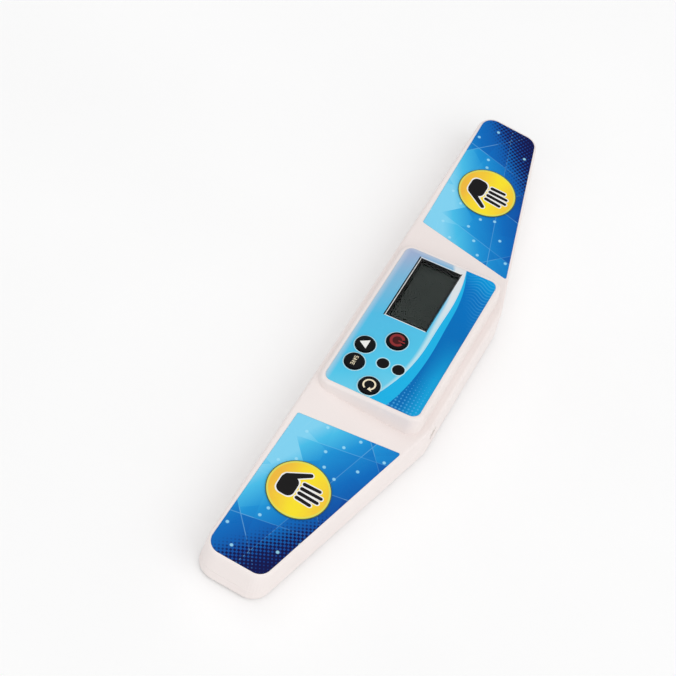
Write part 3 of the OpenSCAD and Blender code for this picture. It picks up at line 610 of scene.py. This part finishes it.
def box_outline(centre, size, radius):
    """Outline of a rectangle with rounded corners."""
    half_x = size[0] / 2 - radius
    half_y = size[1] / 2 - radius
    points = []
    for index, (side_x, side_y) in enumerate([(1, 1), (-1, 1), (-1, -1), (1, -1)]):
        corner = (centre[0] + side_x * half_x, centre[1] + side_y * half_y)
        points += arc(corner, radius, 90 * index, 90 * index + 90, count=6)
    return points


def ring_sector(inner, outer, start, stop):
    """Outline of part of a ring round the middle, from one angle to another."""
    middle = (0, 0)
    return arc(middle, outer, start, stop, count=36) + arc(middle, inner, stop, start, count=36)


def save_letters():
    """The word SAVE in straight strokes, about 5 mm long, centred on its key."""
    # Strokes on a grid that is 1 wide and 2 high
    strokes = {
        "S": [(1, 2), (0, 2), (0, 1), (1, 1), (1, 0), (0, 0)],
        "A": [(0, 0), (0.5, 2), (1, 0)],
        "A bar": [(0.2, 0.7), (0.8, 0.7)],
        "V": [(0, 2), (0.5, 0), (1, 2)],
        "E": [(1, 2), (0, 2), (0, 0), (1, 0)],
        "E bar": [(0, 1), (0.9, 1)],
    }
    letter_width = 0.82
    half_height = 0.8
    letter_pitch = 1.36
    stroke_width = 0.25
    word_start = -(3 * letter_pitch + letter_width) / 2
    outlines = []
    for name, points in strokes.items():
        left = word_start + letter_pitch * "SAVE".index(name[0])
        placed = [(left + letter_width * x, half_height * (y - 1)) for x, y in points]
        outlines += [bar(start, end, stroke_width) for start, end in zip(placed, placed[1:])]
    return outlines


def hand(side, grow):
    """A plain pictogram of an open hand, its thumb on the inner side: palm, fingers and thumb."""
    palm = box_outline((side * 0.4, -5.0), (9.8 + grow, 8.0 + grow), radius=3.0)
    fingers = [bar((side * across, 1.0), (side * across * 1.1, tip), 1.7 + grow, 1.5 + grow)
               for across, tip in FINGER_TIPS]
    thumb = bar((side * -3.0, -7.0), (side * -8.6, 1.4), 3.0 + grow, 1.9 + grow)
    return [palm, *fingers, thumb]


def flat_piece(name, outlines, place, body, finish, layer=0):
    """A thin printed layer, painted highlight or painted shade: the union of outlines, laid in a
    plane by the matrix place.
    """
    points = []
    faces = []
    for outline in outlines:
        faces.append(list(range(len(points), len(points) + len(outline))))
        points += [Vector(point) for point in outline]
    fill_faces = 1              # the output type that leaves the room outside the faces empty
    least_gap = 1e-5
    coords, _, triangles, _, _, covers = delaunay_2d_cdt(points, [], faces, fill_faces, least_gap)
    inked = [list(triangle) for triangle, cover in zip(triangles, covers) if cover]
    height = (layer + 1) * INK
    mesh = bpy.data.meshes.new(name)
    mesh.from_pydata([place @ Vector((c.x * MM, c.y * MM, height * MM)) for c in coords],
                     [], inked)
    mesh.validate()
    mesh.materials.append(finish.material)
    piece = add_object(name, mesh)
    skin = piece.modifiers.new("ink", "SOLIDIFY")
    skin.thickness = INK_FILL * INK * MM
    skin.offset = -1.0
    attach(piece, body)


def on_panel(place, lift=0.0):
    """Matrix from a point of the console's tilted plane, lifted square to it by lift mm."""
    tilt = Matrix.Rotation(math.radians(CONSOLE_TILT), 4, "X")
    start = Matrix.Translation(Vector((0, *CONSOLE_NEAR)) * MM)
    return start @ tilt @ Matrix.Translation(Vector((*place, lift)) * MM)


def height_over_panel(node):
    """Highest point of a CAD node, in mm square to the console's plane."""
    back = on_panel((0, 0)).inverted()
    return max((back @ vertex.co).z for vertex in node.data.vertices) / MM


def build_pad_marks(inks):
    """On each pad a yellow disc with an olive rim, and a black hand edged in white."""
    for name, side in (("left", -1), ("right", 1)):
        centre = Vector((side * DISC_CENTRE[0], DISC_CENTRE[1], PAD_MARKS_LEVEL))
        place = Matrix.Translation(centre * MM)
        rim = arc((0, 0), DISC_RADIUS, 0, 357, count=84)
        disc = arc((0, 0), DISC_RADIUS - DISC_RIM, 0, 357, count=84)
        flat_piece(name + "_disc_rim", [rim], place,
                   "housing", inks["rim"])
        flat_piece(name + "_disc", [disc], place,
                   "housing", inks["disc"], layer=1)
        flat_piece(name + "_hand_outline", hand(side, grow=1.0), place,
                   "housing", inks["white"], layer=2)
        flat_piece(name + "_hand_print", hand(side, grow=0.0), place,
                   "housing", inks["black"], layer=3)


def build_key_marks(inks, tops):
    """A red power sign, a white triangle, the word SAVE and a round arrow.

    They lie flat at each key's top, which is the rim round its slightly dished middle."""
    def mark(key, outlines, finish, part="mark", layer=0):
        flat_piece(key + "_" + part, outlines, on_panel(KEY_PLACES[key], tops[key]),
                   key + "_key_body", finish, layer)

    mark("power", [arc((0, 0), 2.3, 0, 350, count=36)], inks["dark red"], part="centre")
    power_ring = ring_sector(inner=2.15, outer=3.4, start=-245, stop=65)
    power_bar = bar((0, 0.8), (0, 3.3), 0.7)
    mark("power", [power_ring, power_bar], inks["red"], layer=1)
    mark("select", [[(-2.5, 1.3), (0.0, -2.7), (2.5, 1.3)]], inks["white"])
    mark("save", save_letters(), inks["cream"])
    arrow_ring = ring_sector(inner=2.2, outer=2.95, start=34, stop=334)
    arrow_head = [polar(1.25, 38), polar(2.6, 4), polar(3.95, 38)]
    mark("reset", [arrow_ring, arrow_head], inks["cream"])


def build_window_lines(inks, film_top, window_top):
    """Lines on the film round the display: pale painted highlights at its two ends, and black
    lines along its long sides.

    Inside the window lie a black band of painted shade, broad at its near and left edges, and
    a pale painted highlight beside the near black band."""
    line = 0.3                  # width of a printed line and of a painted highlight line
    near_line = 1.6 * line      # the near black line is the broadest
    out = 0.2                   # how far outside the window's edge the film's lines run
    inset = 0.34                # how far inside it the window's painted highlight runs
    thin = 0.45                 # width of the black band of painted shade at the far and right edges
    broad = 1.0                 # and at the near and left ones
    left, right = (WINDOW_CENTRE[0] + side * WINDOW_SIZE[0] / 2 for side in (-1, 1))
    near, far = (WINDOW_CENTRE[1] + side * WINDOW_SIZE[1] / 2 for side in (-1, 1))
    # Painted highlights: pale lines at the window's two ends
    ends = [bar((left - out, near), (left - out, far), line),
            bar((right + out, near), (right + out, far), line)]
    sides = [bar((left - out, near - out), (right + out, near - out), near_line),
             bar((left - out, far + out), (right + out, far + out), line)]
    # Painted shade of the display's recess: a black band just inside the window, broad at its
    # near and left edges
    recess_shade = [bar((left + thin, near + broad), (right - thin, near + broad), broad),
              bar((left + thin, far - thin), (right - thin, far - thin), thin),
              bar((left + broad / 2, near + broad), (left + broad / 2, far - thin), broad),
              bar((right - thin, near + broad), (right - thin, far - thin), thin)]
    # Painted highlight along the window's near edge
    beside = [bar((left + inset, near + inset), (right - inset, near + inset), line)]
    flat_piece("window_end_highlights", ends, on_panel((0, 0), film_top), "housing",
               inks["white"])
    flat_piece("window_sides", sides, on_panel((0, 0), film_top), "housing",
               inks["black"], layer=1)
    flat_piece("window_recess_shade", recess_shade, on_panel((0, 0), window_top), "housing",
               inks["black"])
    flat_piece("window_near_highlight", beside, on_panel((0, 0), window_top), "housing",
               inks["white"], layer=1)


# ---------------------------------------------------------------- stage

def add_object(name, data):
    """A new object of the scene that shows the data."""
    made = bpy.data.objects.new(name, data)
    bpy.context.scene.collection.objects.link(made)
    return made


def build_floor():
    """A sheet of white paper that takes the object's shadow."""
    sides = [(-1, -1), (1, -1), (1, 1), (-1, 1)]
    corners = [(FLOOR_HALF * x, FLOOR_HALF * y, -FLOOR_DROP * MM) for x, y in sides]
    mesh = bpy.data.meshes.new("floor")
    mesh.from_pydata(corners, [], [(0, 1, 2, 3)])
    paper = Surface("paper")
    white = paper.ramp(paper.noise(180.0), [
        (0.3, srgb(248, 248, 248)), (0.7, srgb(251, 251, 251))])
    paper.set(base_color=white, roughness=0.8, specular_ior_level=0.1,
              emission_color=srgb(255, 255, 255),
              emission_strength=paper.times(paper.seen_directly(), FLOOR_GLOW))
    mesh.materials.append(paper.material)
    floor = add_object("floor", mesh)


def build_world():
    """White light, brighter from one side, and a plain pale backdrop where it is looked at."""
    world = bpy.data.worlds.new("studio")
    bpy.context.scene.world = world
    made = Tree(world)
    light = made.node("ShaderNodeBackground")
    made.feed(light.inputs["Color"], (1.0, 1.0, 1.0, 1.0))
    place = made.node("ShaderNodeTexCoord").outputs["Generated"]
    side = made.vector("DOT_PRODUCT", place, BRIGHT_SIDE)
    made.feed(light.inputs["Strength"], made.between(side, *WORLD_LIGHT, *BRIGHT_SPAN))
    backdrop = made.node("ShaderNodeBackground")
    made.feed(backdrop.inputs["Color"], srgb(247, 247, 247))
    made.feed(backdrop.inputs["Strength"], 1.0)
    choose = made.node("ShaderNodeMixShader")
    made.feed(choose.inputs[0], made.seen_directly())
    made.feed(choose.inputs[1], light.outputs[0])
    made.feed(choose.inputs[2], backdrop.outputs[0])
    output = made.node("ShaderNodeOutputWorld")
    made.feed(output.inputs["Surface"], choose.outputs[0])


def build_lamps():
    """Two wide lamps that face the object."""
    for name, spot in LAMP_PLACES.items():
        lamp = bpy.data.lights.new(name, "AREA")
        lamp.energy = LAMP_POWER
        lamp.size = LAMP_SIZE
        held = add_object(name, lamp)
        held.location = spot
        held.rotation_euler = (-Vector(spot)).to_track_quat("-Z", "Y").to_euler()


def build_camera():
    """The photograph's camera, and colours shown as they are written."""
    lens = bpy.data.cameras.new("camera")
    lens.lens = CAMERA_LENS
    lens.sensor_width = SENSOR_WIDTH
    lens.clip_start = NEAREST_SEEN
    lens.clip_end = FARTHEST_SEEN
    camera = add_object("camera", lens)
    camera.location = Vector(CAMERA_PLACE) * MM
    camera.rotation_euler = [math.radians(turn) for turn in CAMERA_TURN]
    bpy.context.scene.camera = camera
    bpy.context.scene.view_settings.view_transform = "Standard"


# ---------------------------------------------------------------- the whole

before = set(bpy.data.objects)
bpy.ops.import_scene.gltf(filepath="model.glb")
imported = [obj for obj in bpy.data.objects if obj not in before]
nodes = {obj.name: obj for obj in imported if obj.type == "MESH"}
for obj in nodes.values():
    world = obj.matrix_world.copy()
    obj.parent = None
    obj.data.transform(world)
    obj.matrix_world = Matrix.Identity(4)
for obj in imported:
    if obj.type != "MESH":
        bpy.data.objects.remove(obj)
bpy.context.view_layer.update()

finish_of = {
    white_plastic(): ["upper_shell", "lower_shell", "battery_door"],
    console_film(): ["console_overlay"],
    pad_film(): ["left_pad_overlay", "right_pad_overlay"],
    clear_window(): ["display_window"],
    display_glass(): ["lcd_glass"],
    key_plastic(): ["power_key", "select_key", "save_key", "reset_key"],
    plain_finish("smoked_lens", srgb(10, 7, 12), 0.18, relief=0.001, shine=0.06): [
        "indicator_lenses"],
    plain_finish("black_frame", srgb(12, 12, 14), 0.4, shine=0.2): [
        "lcd_bezel", "switch_bodies"],
    plain_finish("nylon", srgb(226, 220, 214), 0.5): [
        "power_plunger", "select_plunger", "save_plunger", "reset_plunger", "data_jack"],
    plain_finish("led_resin", srgb(200, 40, 34), 0.2, relief=0.001): ["status_leds"],
    circuit_board(): ["main_board"],
    plain_finish("black_epoxy", srgb(16, 16, 17), 0.24, grain=1.2, relief=0.03): [
        "controller_chip"],
    small_parts(): ["board_components"],
    plain_finish("zebra_strip", srgb(66, 64, 66), 0.7): ["lcd_contact_strips"],
    plain_finish("tinned_plate", srgb(198, 198, 202), 0.34, metal=1.0, relief=0.006): [
        "left_touch_plate", "right_touch_plate"],
    plain_finish("red_vinyl", srgb(176, 26, 28), 0.5): ["left_touch_lead", "right_touch_lead"],
    plain_finish("black_vinyl", srgb(26, 26, 28), 0.5): ["battery_leads"],
    cell_wrap(): ["battery_cells"],
    plain_finish("nickel", srgb(190, 188, 180), 0.26, metal=1.0, relief=0.003): [
        "battery_bridge_contact", "battery_end_contacts", "jack_leads"],
    plain_finish("zinc_screw", srgb(170, 172, 176), 0.32, metal=1.0, relief=0.006): [
        "case_screws", "board_screws"],
    plain_finish("foot_rubber", srgb(62, 62, 64), 0.75, grain=0.6, relief=0.02): [
        "rubber_feet"],
}
for finish, node_names in finish_of.items():
    for node_name in node_names:
        slots = nodes[node_name].data.materials
        slots.clear()
        slots.append(finish.material)

print_inks = {
    "disc": disc_ink(),
    "rim": ink("rim_olive", srgb(84, 104, 58)),
    # white also serves for the painted highlights round the display, and black for its painted
    # shade
    "white": ink("white_ink_and_highlight", srgb(240, 240, 238)),
    "black": ink("black_ink_and_shade", srgb(14, 12, 12)),
    "red": ink("ink_red", srgb(140, 44, 46)),
    "dark red": ink("ink_dark_red", srgb(66, 12, 14)),
    "cream": ink("ink_cream", srgb(242, 230, 198)),
}
key_tops = {key: height_over_panel(nodes[key + "_key"]) for key in KEY_PLACES}
build_pad_marks(print_inks)
build_key_marks(print_inks, key_tops)
build_window_lines(print_inks, film_top=height_over_panel(nodes["console_overlay"]),
                   window_top=height_over_panel(nodes["display_window"]))
build_floor()
build_world()
build_lamps()
build_camera()
